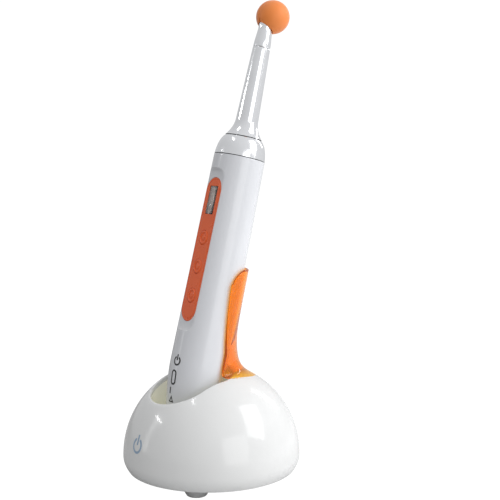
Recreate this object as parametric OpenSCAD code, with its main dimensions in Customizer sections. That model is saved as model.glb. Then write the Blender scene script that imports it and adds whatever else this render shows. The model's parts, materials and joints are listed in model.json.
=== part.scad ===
// Cordless dental curing light standing in its domed charging base.
// World frame: +Z up, origin on the table under the middle of the dome, -Y is the side
// that the control panel faces. Handpiece pieces are drawn in a frame of their own, with
// Z along the handpiece and zero at its tail, and in_handpiece() stands them in the base.

/* [Base] */
// Largest radius of the dome
base_r = 48; // [44:0.5:52]
// Height of the dome's widest ring above the table
equator_z = 12; // [10:0.5:14]
// Height of the dome above its widest ring
dome_h = 49; // [46:0.5:54]
// Wall of the dome shell
shell_wall = 2.4; // [2:0.1:3]
// Half width of the upright well that the handpiece drops into, and radius of its front
well_r = 19.4; // [19:0.2:20]
// Distance of the well's round front in front of the dome's axis
well_y = 17; // [16.5:0.5:17.5]
// Distance of each foot from the dome's axis
feet_ring_r = 35.7; // [34:0.1:37]

/* [Handpiece] */
// Lean of the handpiece away from its control panel, in degrees
lean = 14; // [13:0.5:15]
// Radius of the handle at its thickest
grip_r = 15.1; // [14.8:0.1:15.4]
// Length of the white handle, from the tail to the chrome collar
handle_len = 160; // [156:1:164]
// Radius of the bore that holds the board and the cell
bore_r = 10.6; // [10.4:0.1:10.8]
// Width of the flat control panel
panel_w = 14.3; // [13.5:0.1:14.5]
// Half of the control panel's length
panel_half = 39.1; // [37:0.1:40]

/* [Neck and head] */
// Distance from the tail to the joint between the neck and the head
neck_top = 220.5; // [218:0.5:223]
// Radius of the round orange light shield
shield_r = 9.1; // [8.8:0.1:9.6]
// Offset of the shield's middle from the neck's axis, towards the lens
shield_off = 3.25; // [3:0.05:3.4]

/* [Amber rest] */
// Radius of the face that the handle leans on
rest_r = 15.5; // [15.5:0.1:15.7]
// Height of the rest's tip, measured along the handpiece
rest_top = 102; // [98:1:106]
// How far the rest spreads backwards where it meets the dome
rest_flare = 21; // [19:0.5:23]

/* [Hidden] */
$fn = 96;

gap = 0.05;             // clearance between fitted pieces
foot_h = 4;             // height of a foot below the base plate
axis_y = -23.6;         // where the handpiece's axis meets the table
tail_s = 17;            // distance from the table to the tail, along that axis
rim_z = 4.6;            // lower edge of the dome shell
lower_h = 21.8;         // half height of the ellipse below the widest ring
mark_x = 1;             // middle of the printed symbol on the dome's front
mark_z = 24;
plate_t = 2;            // thickness of the base plate
boss_r = 3.4;           // screw bosses inside the dome
slot_r = 16.4;          // tilted cut that lets the handle through the back of the rim
well_back = 6.5;        // back of the well, behind the dome's axis
corner_r = 12;          // rounding of the well's back corners
well_floor = 8;         // underside of the well's floor
grip_u = 46;            // where the grip is thickest
taper = 0.011;          // loss of radius for each millimetre above the grip
tail_u = 16;            // joint between the handle and the tail cap
panel_u = 108;          // middle of the control panel
recess_half = 44.1;     // half length of the scoop around the panel
panel_t = 1;            // thickness of the control panel
button_r = 3.9;
button_gap = 0.12;
button_z = [6.3, -9.4, -25.1];  // the three buttons, from the panel's middle
window = [7.6, 15.4];
window_z = 26.7;
board_y = 4.2;          // depth of the circuit board's face below the panel's face
pin_x = 3.5;            // half the distance between the charging contacts
seat_u = -4.05;         // underside of the seat's floor, along the handpiece
pin_r = 0.9;
collar_top = 171;
neck_foot = 171.4;
spigot_r = 5.6;
rod_r = 2.6;
rod_foot = 163.2;
head_r = 3.95;
lens_r = 2.9;           // radius of the lens and of the board behind it
head_u = neck_top + 18.1;   // middle of the head and of its shield
head_top = head_u + 6;
step = 2;               // spacing of the points along a turned outline

// Turned outlines ---------------------------------------------------------------

function body_r(u) = u < grip_u
    ? grip_r * (1 - 0.45 * pow((grip_u - u) / grip_u, 1.6))
    : grip_r - taper * (u - grip_u);

function dome_r(z, inset = 0) =
    let (h = z > equator_z ? dome_h - inset : lower_h)
    (base_r - inset) * sqrt(max(0, 1 - pow((z - equator_z) / h, 2)));

function collar_r(u) =
    let (t = u - handle_len) body_r(handle_len) - 0.122 * t - 0.000534 * pow(t, 3.5);

function neck_r(u) =
    let (t = u - neck_foot)
    6.44 - 1.7 * t / (neck_top - neck_foot) + 3.56 * pow(max(0, 1 - t / 9.24), 2);

// Points of a turned outline from a to b, as [radius, height].
function turned(a, b, radius, n) = [for (i = [0:n]) let (u = a + (b - a) * i / n) [radius(u), u]];

module dome_solid(inset = 0, low = 0) {
    n = 30;
    rotate_extrude()
        polygon(concat([[0, low]],
            [for (i = [0:5]) let (z = low + (equator_z - low) * i / 6) [dome_r(z, inset), z]],
            [for (i = [0:n]) let (a = 90 * i / n)
                [(base_r - inset) * cos(a), equator_z + (dome_h - inset) * sin(a)]]));
}

module body_solid(a, b, grow = 0) {
    n = ceil((b - a) / step);
    rotate_extrude()
        polygon(concat([[0, a]],
            [for (p = turned(a, b, function (u) body_r(u), n)) [p[0] + grow, p[1]]],
            [[0, b]]));
}

// Frames and small shapes -------------------------------------------------------

module in_handpiece()
    translate([0, axis_y, 0]) rotate([-lean, 0, 0]) translate([0, 0, tail_s]) children();

// Panel frame: Y is the depth below the panel's flat face, Z runs along the panel.
module in_panel()
    translate([0, -sqrt(pow(body_r(panel_u), 2) - pow(panel_w / 2, 2)), panel_u])
        rotate([-atan(taper), 0, 0]) children();

module ring(r_out, r_in, z0, z1)
    translate([0, 0, z0]) difference() {
        cylinder(h = z1 - z0, r = r_out);
        translate([0, 0, -1]) cylinder(h = z1 - z0 + 2, r = r_in);
    }

module disc_y(r, y0, y1, z = 0)
    translate([0, y0, z]) rotate([-90, 0, 0]) cylinder(h = y1 - y0, r = r);

// Plate with round ends, from depth y0 to y1 in the panel frame.
module stadium(half_len, width, y0, y1) {
    straight = half_len - width / 2;
    translate([-width / 2, y0, -straight]) cube([width, y1 - y0, 2 * straight]);
    for (z = [-straight, straight]) disc_y(width / 2, y0, y1, z);
}

// Box in the panel frame, centred on X and on a height z.
module panel_box(size, y0, z)
    translate([-size[0] / 2, y0, z - size[2] / 2]) cube(size);

// Charging base -----------------------------------------------------------------

module at_feet() for (a = [45:90:315]) rotate([0, 0, a]) translate([feet_ring_r, 0, 0]) children();

// The well from above: round in front, with parallel sides and rounded corners at the back.
module well_plan(grow = 0) {
    half = well_r + grow;
    translate([0, -well_y]) circle(r = half);
    translate([-half, -well_y]) square([2 * half, well_y + well_back - corner_r]);
    translate([corner_r - well_r, -well_y])
        square([2 * (well_r - corner_r), well_y + well_back + grow]);
    for (s = [-1, 1])
        translate([s * (well_r - corner_r), well_back - corner_r]) circle(r = corner_r + grow);
}

module dome_shell() color("white") difference() {
    union() {
        difference() {
            dome_solid(0, rim_z);
            translate([0, 0, -0.01]) dome_solid(shell_wall, rim_z - 1);
        }
        intersection() {
            dome_solid(shell_wall / 2, rim_z);
            at_feet() translate([0, 0, foot_h + plate_t + gap + 0.4]) cylinder(h = 60, r = boss_r);
        }
    }
    translate([0, 0, 24]) linear_extrude(60) well_plan();
    in_handpiece() cylinder(h = 80, r = slot_r);
    at_feet() translate([0, 0, 3]) cylinder(h = 14, r = 1.25);
    translate([-4.75, base_r - 6, 16]) cube([9.5, 10, 3.7]);
    difference() {
        base_mark_prism();
        dome_solid(0.42, rim_z - 1);
    }
}

// Upright well with a leaning cup in its floor, in which the tail stands over the pins.
module socket_well() color("ivory") difference() {
    union() {
        difference() {
            intersection() {
                dome_solid(shell_wall + gap, well_floor);
                translate([0, 0, well_floor]) linear_extrude(52) well_plan(1.8);
            }
            translate([0, 0, well_floor + 1.5]) linear_extrude(52) well_plan();
        }
        intersection() {
            translate([0, 0, well_floor]) linear_extrude(40) well_plan(0.2);
            in_handpiece() translate([0, 0, -16]) cylinder(h = 28, r = 14.2);
        }
    }
    in_handpiece() {
        body_solid(-0.2, 24, 0.4);
        translate([0, 0, 24]) cylinder(h = 60, r = slot_r);
        translate([0, 0, -20]) cylinder(h = 20 + seat_u, r = 12.2);
        for (x = [-pin_x, pin_x]) translate([x, 0, -6]) cylinder(h = 8, r = pin_r + 0.35);
        for (y = [-9.4, 9.4]) translate([0, y, -6]) cylinder(h = 4.6, r = 0.85);
    }
}

// Height along the handpiece of the dome's skin, at a place beside the handpiece's axis.
function dome_u(x, off) =
    let (y0 = axis_y + off * cos(lean), z0 = -off * sin(lean) - equator_z,
        bb = base_r * base_r, hh = dome_h * dome_h,
        a = pow(sin(lean), 2) / bb + pow(cos(lean), 2) / hh,
        b = y0 * sin(lean) / bb + z0 * cos(lean) / hh,
        c = (x * x + y0 * y0) / bb + z0 * z0 / hh - 1)
    (sqrt(max(0, b * b - a * c)) - b) / a - tail_s;

// The rest is a half pipe whose foot spreads over the dome. v runs from 0 at the foot's edge
// through 1 at the top of the foot to 2 at the pipe's upper edge; b runs from side to side.
function rest_side(v) = 86.6 - 7.5 * pow((41 - 37 * max(0, v - 1)) / 26, 2);

function rest_edge(a) =
    let (q = max(0, (abs(a) - 58) / 28.6))
    rest_top - 2.4 * pow(a / 86, 2) - 8.5 * (1 - sqrt(max(0, 1 - q * q)));

function rest_point(b, v, inner) =
    let (a = b * rest_side(v), c = pow(cos(a), 2.2), f = pow(min(1, v), 2.25), g = max(0, v - 1),
        wall = rest_r + (inner ? 0 : 1.28 + 0.4 * pow(1 - g, 3.5)),
        spread = (inner ? (rest_flare + 0.5) * c : 1 + rest_flare * c) * pow(1 - sqrt(min(1, v)), 1.2),
        rise = (inner ? -0.2 : 0) + (9.2 + 18 * c) * f - (inner ? 0.6 * (1 - f) : 0),
        x = (wall + spread) * sin(a), off = (wall + spread) * cos(a), u = dome_u(x, off) + rise)
    [x, off, u + (rest_edge(a) - u) * g];

module cradle_rest() color("orange") {
    na = 40;
    nu = 26;
    m = nu + 1;
    k = (na + 1) * m;
    grid = [for (i = [0:na]) for (j = [0:nu]) [sin(90 * (2 * i / na - 1)), 2 * j / nu]];
    in_handpiece() polyhedron(
        points = concat([for (g = grid) rest_point(g[0], g[1], false)],
            [for (g = grid) rest_point(g[0], g[1], true)]),
        faces = concat(
            [for (i = [0:na - 1]) for (j = [0:nu - 1]) let (p = i * m + j)
                each [[p, p + 1, p + m + 1], [p, p + m + 1, p + m]]],
            [for (i = [0:na - 1]) for (j = [0:nu - 1]) let (p = k + i * m + j)
                each [[p, p + m + 1, p + 1], [p, p + m, p + m + 1]]],
            [for (i = [0:na - 1]) for (j = [0, nu]) let (p = i * m + j, q = p + m)
                each (j == 0 ? [[p, q, k + q], [p, k + q, k + p]] : [[p, k + q, q], [p, k + p, k + q]])],
            [for (j = [0:nu - 1]) for (i = [0, na]) let (p = i * m + j, q = p + 1)
                each (i == 0 ? [[p, k + q, q], [p, k + p, k + q]] : [[p, q, k + q], [p, k + q, k + p]])]));
}

// Plain power symbol, a ring that is open at the top with a bar in the opening.
module power_symbol(r, line) {
    difference() {
        circle(r = r);
        circle(r = r - line);
        polygon([[0, 0], [-r * 0.62, 1.2 * r], [r * 0.62, 1.2 * r]]);
    }
    translate([-line / 2, 0.1 * r]) square([line, 1.25 * r]);
}

// Power symbol laid into the skin of the dome's front.
module base_mark_prism()
    translate([mark_x, -30, mark_z]) rotate([90, 0, 0]) linear_extrude(20) power_symbol(4.1, 1.2);

module base_mark() color("skyblue") intersection() {
    difference() {
        dome_solid(-0.05, rim_z);
        dome_solid(0.4, rim_z - 1);
    }
    base_mark_prism();
}

module base_plate() color("gainsboro") difference() {
    union() {
        translate([0, 0, foot_h + 0.4]) cylinder(h = plate_t, r = dome_r(rim_z, shell_wall) - 0.6);
        for (x = [-9, 9]) translate([x, -31, foot_h + 1]) cylinder(h = 2.95, r = 2.4);
    }
    at_feet() cylinder(h = 12, r = 1.7);
    at_feet() cylinder(h = foot_h + 1.2, r = 3.2);
    for (x = [-14, 14]) translate([x, 32, 0]) cylinder(h = 12, r = 1.6);
    for (x = [-24:8:24]) translate([x - 0.9, -6, 0]) cube([1.8, 14, 12]);
}

module base_feet() color("lightgray") at_feet() difference() {
    union() {
        cylinder(h = foot_h - 0.6, r1 = 5.1, r2 = 7.2);
        translate([0, 0, foot_h - 0.6]) cylinder(h = 1, r = 7.2);
    }
    translate([0, 0, 1.6]) cylinder(h = 6, r = 3.2);
}

module base_screws() color("silver") at_feet() translate([0, 0, foot_h - 0.65]) {
    difference() {
        cylinder(h = 1.8, r = 2.9);
        translate([0, 0, -1]) cylinder(h = 1.9, r = 1.3, $fn = 6);
    }
    translate([0, 0, 1.8]) cylinder(h = 9.4, r = 1.2);
}

module ballast_plate() color("slategray") difference() {
    intersection() {
        translate([0, 0, foot_h + plate_t + 0.45]) cylinder(h = 5, r = 41);
        translate([-50, 11, 0]) cube([100, 50, 20]);
    }
    at_feet() cylinder(h = 30, r = boss_r + 0.5);
    for (x = [-14, 14]) translate([x, 32, 0]) cylinder(h = 30, r = 1.6);
}

module ballast_screws() color("silver")
    for (x = [-14, 14]) translate([x, 32, 0]) {
        translate([0, 0, foot_h - 1.3]) cylinder(h = 1.65, r = 2.8);
        translate([0, 0, foot_h + 0.35]) cylinder(h = 5.6, r = 1.5);
    }

module charge_board() color("seagreen") difference() {
    translate([-15, 19, 14.6]) cube([30, 22, 1.5]);
    for (x = [-12, 12]) translate([x, 22, 10]) cylinder(h = 10, r = 1.1);
}

module board_standoffs() color("gold") for (x = [-12, 12]) {
    translate([x, 22, foot_h + plate_t + 5.5]) cylinder(h = 3.05, r = 2.2);
    translate([x, 22, foot_h + plate_t + 8.55]) cylinder(h = 3, r = 1);
}

module charge_chips() color("black") {
    translate([-9, 25, 16.12]) cube([7, 7, 1.4]);
    translate([3, 24, 16.12]) cube([5, 4, 1.2]);
    translate([2.5, 31, 16.12]) cube([6, 6, 3]);
}

module power_inlet() color("dimgray") difference() {
    translate([-4.5, 39, 16.15]) cube([9, 7.6, 3.4]);
    translate([-4.1, 40.2, 16.5]) cube([8.2, 8, 2.7]);
}

module pin_block() color("black") in_handpiece() difference() {
    union() {
        translate([0, 0, -8]) cylinder(h = 3.9, r = 6.4);
        translate([0, 0, -5.8]) cylinder(h = 1.7, r = 11.9);
    }
    for (x = [-pin_x, pin_x]) translate([x, 0, -7.2]) cylinder(h = 8, r = 1.7);
    for (x = [-pin_x, pin_x]) translate([x, 0, -9]) cylinder(h = 3, r = 0.75);
    for (y = [-9.4, 9.4]) translate([0, y, -9]) cylinder(h = 9, r = 0.95);
}

module block_screws() color("silver") in_handpiece() for (y = [-9.4, 9.4]) translate([0, y, 0]) {
    translate([0, 0, -7.1]) cylinder(h = 1.25, r = 1.7);
    translate([0, 0, -5.85]) cylinder(h = 4.2, r = 0.8);
}

module charge_pin(x) color("gold") in_handpiece() translate([x, 0, 0]) {
    translate([0, 0, -4.4]) cylinder(h = 3.5, r = pin_r);
    translate([0, 0, -0.9]) cylinder(h = 0.87, r1 = pin_r, r2 = 0.45);
    translate([0, 0, -4.7]) cylinder(h = 0.6, r = 1.5);
}

// One point of a spring's wire centre line.
function coil(t, turns, r0, r1, height) =
    [(r0 + (r1 - r0) * t) * cos(360 * turns * t), (r0 + (r1 - r0) * t) * sin(360 * turns * t), height * t];

// Round wire of radius w swept along points p, with flat ends.
module wire(p, w, sides = 8) {
    n = len(p) - 1;
    function dir(i) = let (d = p[min(n, i + 1)] - p[max(0, i - 1)]) d / norm(d);
    function side(i) = let (c = cross(dir(i), [0.13, 0.21, 0.97])) c / norm(c);
    ring = [for (i = [0:n]) let (s = side(i), q = cross(dir(i), s)) for (k = [0:sides - 1])
        p[i] + w * (cos(360 * k / sides) * s + sin(360 * k / sides) * q)];
    polyhedron(points = ring, faces = concat(
        [for (i = [0:n - 1]) for (k = [0:sides - 1]) let (a = i * sides, j = (k + 1) % sides)
            each [[a + k, a + sides + j, a + j], [a + k, a + sides + k, a + sides + j]]],
        [[for (k = [0:sides - 1]) k], [for (k = [sides - 1:-1:0]) n * sides + k]]));
}

module pin_spring(x) color("silver") in_handpiece()
    translate([x, 0, -6.99]) wire([for (i = [0:40]) coil(i / 40, 4, 1.25, 1.25, 2.06)], 0.18, 6);

// Two leads from the pins back to the charging board.
module pin_leads() color("firebrick") for (s = [-1, 1])
    wire([[s * 3.5, -21.21, 9.6], [s * 3.5, -21.36, 9], [s * 3.55, -21.5, 8.3], [s * 3.65, -21.15, 7.6],
        [s * 3.9, -20.2, 7.15], [s * 5, -14, 7.1], [s * 8, -4, 7.1], [s * 10.4, 4, 7.1],
        [s * 11, 8.2, 7.1], [s * 11, 9.9, 8.6], [s * 11, 10.2, 12], [s * 11, 11.8, 15.6],
        [s * 10.6, 14.5, 17.8], [s * 9.9, 18, 18.1], [s * 9.2, 21.2, 16.75]], 0.5, 8);

// Handpiece ---------------------------------------------------------------------

module scoop() {
    slope = 2 / (recess_half - panel_half);
    rise = 6;
    rotate([90, 0, 90]) translate([0, 0, -12]) linear_extrude(24)
        polygon([[0, -panel_half], [0, panel_half], [-rise, panel_half + rise / slope],
            [-rise, -panel_half - rise / slope]]);
}

module handle_shell() color("whitesmoke") in_handpiece() difference() {
    body_solid(tail_u, handle_len);
    translate([0, 0, tail_u - 1]) cylinder(h = 12, r = 9.5);
    translate([0, 0, 24]) cylinder(h = 140, r = bore_r);
    translate([0, 0, 150.5]) cylinder(h = 12, r = 11.4);
    in_panel() {
        scoop();
        stadium(panel_half, panel_w, 0, panel_t + gap);
        for (z = button_z) disc_y(4.6, 0, 5, z);
        panel_box([window[0] + 2.4, 5, window[1] + 2.4], 0, window_z);
    }
    difference() {
        mark_prism();
        body_solid(20, 58, -0.42);
    }
}

// Outline of a plate with round ends, with a line of the given width.
module capsule(width, height, line) difference() {
    r = width / 2;
    hull() for (y = [r, height - r]) translate([0, y]) circle(r = r);
    hull() for (y = [r, height - r]) translate([0, y]) circle(r = r - line);
}

// Column of plain symbols laid into the lower front of the handle.
module mark_prism() translate([0, -8, 0]) rotate([90, 0, 0]) linear_extrude(12) {
    translate([2.1, 47.6]) power_symbol(2.6, 0.95);
    translate([1.4, 34.6]) capsule(4, 8.2, 0.95);
    translate([-0.7, 29.8]) square([1, 3.4]);
    translate([1.3, 25.4]) difference() {
        polygon([[-1.9, 0], [1.9, 0], [0, 3.6]]);
        polygon([[-0.8, 0.6], [0.8, 0.6], [0, 2.2]]);
    }
}

module handle_mark() color("black") in_handpiece() intersection() {
    mark_prism();
    difference() {
        body_solid(23, 55, 0.04);
        body_solid(22, 56, -0.4);
    }
}

module tail_cap() color("whitesmoke") in_handpiece() difference() {
    union() {
        intersection() {
            body_solid(0, tail_u - gap);
            cylinder(h = 30, r1 = 7.3, r2 = 37.3);
        }
        translate([0, 0, tail_u - 1]) cylinder(h = 6, r = 9.42);
    }
    translate([0, 0, 2.5]) cylinder(h = 30, r = 7.4);
    for (x = [-pin_x, pin_x]) translate([x, 0, -1]) cylinder(h = 6, r = 2.02);
    ring(12, 8.35, 17, 18.3);
}

module tail_seal() color("black") in_handpiece()
    translate([0, 0, 17.65]) rotate_extrude() translate([8.92, 0]) circle(r = 0.55, $fn = 24);

module charge_contacts() color("gold") in_handpiece() for (x = [-pin_x, pin_x]) translate([x, 0, 0]) {
    translate([0, 0, 0.05]) cylinder(h = 2.5, r = 1.98);
    translate([0, 0, 2.55]) cylinder(h = 0.8, r = 2.9);
}

module battery_cell() color("royalblue") in_handpiece() {
    translate([0, 0, 27]) cylinder(h = 49, r = 9.1);
    translate([0, 0, 76]) cylinder(h = 1.2, r = 3);
}

module battery_spring() color("silver") in_handpiece()
    translate([0, 0, 4]) wire([for (i = [0:96]) coil(i / 96, 6, 6.4, 3.4, 22.4)], 0.45, 6);

module battery_contact() color("silver") in_handpiece() {
    translate([0, 0, 77.25]) cylinder(h = 0.6, r = 8);
    translate([-2, -9.8, 77.25]) cube([4, 3, 0.6]);
}

module inner_frame() color("dimgray") in_handpiece() {
    difference() {
        translate([0, 0, 78]) cylinder(h = 2, r = bore_r - 0.15);
        translate([0, 0, 77]) cylinder(h = 4, r = 3);
    }
    intersection() {
        translate([0, 0, 78]) cylinder(h = 72, r = bore_r - 0.15);
        in_panel() for (x = [-6.2, 3.8]) translate([x, board_y + 1.25, -28.5]) cube([2.4, 3, 68]);
    }
    difference() {
        translate([0, 0, 145.5]) cylinder(h = 3, r = bore_r - 0.15);
        in_panel() translate([-20, -5, 30]) cube([40, board_y + 6.2, 20]);
        translate([0, 0, 140]) cylinder(h = 20, r = 3.1);
    }
}

module main_board() color("darkgreen") in_handpiece() in_panel()
    translate([-6.1, board_y, -27.6]) cube([12.2, 1.2, 66]);

module board_chips() color("black") in_handpiece() in_panel() {
    panel_box([5, 1, 5], board_y + 1.22, 12);
    panel_box([3.6, 1.2, 3], board_y + 1.22, 20);
    panel_box([4.5, 1, 4], board_y + 1.22, -19);
}

module tact_switches() color("silver") in_handpiece() in_panel() for (z = button_z) {
    panel_box([5.2, 1.2, 5.2], board_y - 1.22, z);
    disc_y(1.3, board_y - 1.56, board_y - 1.22, z);
}

module lcd_module() color("darkslategray") in_handpiece() in_panel()
    panel_box([window[0] + 2, 1.9, window[1] + 2.2], board_y - 1.92, window_z);

module buzzer() color("black") in_handpiece() in_panel() difference() {
    disc_y(3.6, board_y + 1.22, board_y + 4.4, -4);
    disc_y(0.8, board_y + 3.4, board_y + 5, -4);
}

module control_panel() color("orangered") in_handpiece() in_panel() difference() {
    union() {
        stadium(panel_half - 0.12, panel_w - 0.24, 0.02, panel_t);
        difference() {
            stadium(panel_half - 0.5, panel_w - 1, -0.2, 0.5);
            stadium(panel_half - 1.3, panel_w - 2.6, -1, 0.6);
        }
    }
    for (z = button_z) disc_y(button_r + button_gap, -1, 2, z);
    panel_box([window[0], 4, window[1]], -1, window_z);
}

module display_window() color("slategray") in_handpiece() in_panel()
    panel_box([window[0] - 0.1, 0.85, window[1] - 0.1], 0.1, window_z);

module button(z) color("orangered") in_handpiece() in_panel() {
    difference() {
        disc_y(button_r, -0.35, 1.1, z);
        difference() {
            disc_y(button_r - 0.7, -1, -0.1, z);
            disc_y(button_r - 1.3, -1, 0, z);
        }
    }
    disc_y(4.3, 1.06, 1.7, z);
    disc_y(1.5, 1.7, 2.2, z);
}

module collar_gasket() color("dimgray") in_handpiece()
    ring(body_r(handle_len) - 0.25, 11.35, handle_len + 0.02, handle_len + 0.28);

module neck_collar() color("silver") in_handpiece() difference() {
    union() {
        rotate_extrude() polygon(concat([[0, handle_len + 0.3]],
            turned(handle_len + 0.3, collar_top, function (u) collar_r(u), 14), [[0, collar_top]]));
        translate([0, 0, 151]) cylinder(h = 12, r = 11.3);
    }
    translate([0, 0, 140]) cylinder(h = 28.5, r = 7.2);
    translate([0, 0, 160]) cylinder(h = 20, r = spigot_r + 0.15);
}

module neck_bush() color("ivory") in_handpiece() ring(7.16, spigot_r + 0.05, 154.2, 168.4);

module neck_gasket() color("dimgray") in_handpiece()
    ring(collar_r(collar_top) - 0.35, spigot_r + 0.3, collar_top + 0.02, neck_foot - 0.06);

module neck_tube() color("silver") in_handpiece() difference() {
    union() {
        rotate_extrude() polygon(concat([[0, neck_foot]],
            turned(neck_foot, neck_top, function (u) neck_r(u), 30), [[0, neck_top]]));
        translate([0, 0, 151.6]) cylinder(h = 21, r = spigot_r);
    }
    translate([0, 0, 151]) cylinder(h = 12, r = 3.6);
    translate([0, 0, 150]) cylinder(h = 80, r = rod_r + 0.02);
    ring(8, 4.9, 152.5, 153.9);
}

module neck_clip() color("dimgray") in_handpiece() difference() {
    ring(6.7, 4.94, 152.6, 153.8);
    translate([-1, -10, 150]) cube([2, 7, 10]);
}

module heat_rod() color("peru") in_handpiece() translate([0, 0, rod_foot])
    cylinder(h = neck_top + 4.2 - rod_foot, r = rod_r);

module contact_plug() color("gold") in_handpiece() {
    translate([0, 0, 156]) cylinder(h = 6.9, r = 3.5);
    translate([0, 0, 147]) cylinder(h = 9, r = 1.75);
}

module contact_socket() color("black") in_handpiece() {
    ring(3.05, 1.85, 145.6, 151.4);
    translate([0, 0, 144.2]) cylinder(h = 1.4, r = 3.05);
}

// Head and light shield ---------------------------------------------------------

module head_shell() color("silver") in_handpiece() difference() {
    rotate_extrude() polygon([[0, neck_top + 0.2], [4.5, neck_top + 0.2], [4.7, neck_top + 0.6],
        [4.6, neck_top + 3], [head_r - 0.1, neck_top + 10], [head_r, neck_top + 12],
        [head_r, head_top - 2], [head_r - 0.5, head_top - 0.8], [head_r - 1.5, head_top - 0.1],
        [0, head_top]]);
    translate([0, 0, neck_top - 1]) cylinder(h = 5.4, r = rod_r + 0.02);
    disc_y(lens_r + 0.1, 0.4, 10, head_u);
}

module led_board() color("white") in_handpiece() disc_y(lens_r, 0.42, 1.3, head_u);

module led_chip() color("khaki") in_handpiece()
    translate([-1.2, 1.32, head_u - 1.2]) cube([2.4, 0.7, 2.4]);

module lens_ring() color("dimgray") in_handpiece() difference() {
    disc_y(lens_r + 0.05, 1.32, 2.6, head_u);
    disc_y(lens_r - 0.6, 1, 3, head_u);
}

module head_lens() color("lightblue") in_handpiece() translate([0, 2.62, head_u]) rotate([-90, 0, 0])
    rotate_extrude() polygon(concat([[0, 0], [lens_r, 0], [lens_r, 0.3]],
        [for (i = [0:8]) let (a = 90 * i / 8) [(lens_r - 0.1) * cos(a), 0.3 + 0.9 * sin(a)]]));

// Soft ball around the head, with a mouth for the light and a split under the front.
module light_shield() color("darkorange") in_handpiece() {
    hole_r = head_r + 0.3;
    difference() {
        translate([0, shield_off, head_u]) sphere(r = shield_r);
        translate([0, 0, head_u]) rotate_extrude() polygon([[0, -20], [hole_r, -20], [hole_r, 3.9],
            [hole_r - 0.7, 5.2], [hole_r - 1.7, 6.15], [0, 6.15]]);
        translate([0, 3, head_u]) rotate([-90, 0, 0]) cylinder(h = 12, r1 = lens_r + 0.1, r2 = 6);
        translate([-0.25, -12, head_u - 12]) cube([0.5, 10, 10]);
    }
}

dome_shell();
base_mark();
socket_well();
cradle_rest();
base_plate();
base_feet();
base_screws();
ballast_plate();
ballast_screws();
charge_board();
charge_chips();
board_standoffs();
power_inlet();
pin_block();
block_screws();
charge_pin(-pin_x);  // charge_pin_left
charge_pin(pin_x);  // charge_pin_right
pin_spring(-pin_x);  // pin_spring_left
pin_spring(pin_x);  // pin_spring_right
pin_leads();
handle_shell();
handle_mark();
tail_cap();
tail_seal();
charge_contacts();
battery_cell();
battery_spring();
battery_contact();
inner_frame();
main_board();
board_chips();
tact_switches();
lcd_module();
buzzer();
control_panel();
display_window();
button(button_z[0]);  // power_button
button(button_z[1]);  // mode_button
button(button_z[2]);  // time_button
collar_gasket();
neck_collar();
neck_bush();
neck_gasket();
contact_socket();
neck_tube();
neck_clip();
heat_rod();
contact_plug();
head_shell();
led_board();
led_chip();
lens_ring();
head_lens();
light_shield();
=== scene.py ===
import json
from math import atan, atan2, cos, degrees, hypot, pi, radians, sin, sqrt

import bmesh
import bpy
from mathutils import Matrix, Vector

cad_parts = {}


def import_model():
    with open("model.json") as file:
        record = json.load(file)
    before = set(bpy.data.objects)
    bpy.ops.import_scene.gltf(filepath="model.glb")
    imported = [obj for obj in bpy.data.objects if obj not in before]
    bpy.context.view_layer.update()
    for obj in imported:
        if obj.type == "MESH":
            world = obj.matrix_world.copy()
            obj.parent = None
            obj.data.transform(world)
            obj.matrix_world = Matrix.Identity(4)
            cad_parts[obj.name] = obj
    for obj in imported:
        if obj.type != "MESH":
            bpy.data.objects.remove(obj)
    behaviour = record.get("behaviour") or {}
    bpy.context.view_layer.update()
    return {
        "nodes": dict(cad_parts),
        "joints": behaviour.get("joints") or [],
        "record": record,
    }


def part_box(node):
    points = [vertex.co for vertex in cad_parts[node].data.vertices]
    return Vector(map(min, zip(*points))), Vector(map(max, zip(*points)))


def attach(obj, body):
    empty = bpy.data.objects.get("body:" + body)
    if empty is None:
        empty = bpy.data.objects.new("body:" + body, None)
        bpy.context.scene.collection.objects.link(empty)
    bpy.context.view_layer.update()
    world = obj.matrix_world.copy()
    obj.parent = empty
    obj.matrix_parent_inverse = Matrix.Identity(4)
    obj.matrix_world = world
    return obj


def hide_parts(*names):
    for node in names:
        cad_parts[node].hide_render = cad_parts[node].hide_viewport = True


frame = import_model()
MM = 0.001
TAU = 2 * pi

# Sizes taken from the frame ----------------------------------------------------

joints = {joint["name"]: joint for joint in frame["joints"]}
AXIS = Vector(joints["handpiece_lift"]["axis"]).normalized()
LEAN = atan2(AXIS.y, AXIS.z)
NECK_FOOT = 171.4                                 # mm from the tail to the neck's foot
TAIL = Vector(joints["neck_turn"]["pos_m"]) - AXIS * NECK_FOOT * MM


def size_mm(node):
    low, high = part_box(node)
    return Vector(high) / MM - Vector(low) / MM


# Driving sizes, all in millimetres ----------------------------------------------

BASE_R = size_mm("dome_shell").x / 2
EQUATOR_Z = 12                                    # the dome's widest ring
DOME_H = 49                                       # from the widest ring to the virtual tip
LOWER_H = 21.8
RIM_Z = 4.6                                       # lower edge of the dome
WALL = 2.4
WELL_R = 19.4                                     # half width of the well, and radius of its front
WELL_Y = -17                                      # middle of the well's round front
WELL_BACK = 6.5
FRONT_LIP = 2.2                                   # how far the rim reaches over the well's front
CORNER_R = 12                                     # back corners of the well
HUB_Y = -12                                       # the dome's cross-sections fan out from here
SLOT_R = 16.4
GRIP_R = 15.1
GRIP_U = 46
TAPER = 0.011
TAIL_U = 16
HANDLE_LEN = 160
BORE_R = 10.6                                     # inside of the handle
TAIL_SEAT = (9.5, 24)                             # radius and end of the tail cap's seat in it
COLLAR_SEAT = (11.4, 150.5)                       # radius and start of the collar's seat in it
PANEL_U = 108
PANEL_W = 14.3
PANEL_HALF = 39.1
SCOOP_LEN = 5
COLLAR_TOP = 171
NECK_TOP = 220.5
HEAD_R = 3.95
LENS_R = 2.9
HEAD_U = NECK_TOP + 18.1
SHIELD_R = size_mm("light_shield").x / 2
SHIELD_OFF = 3.25
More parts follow.
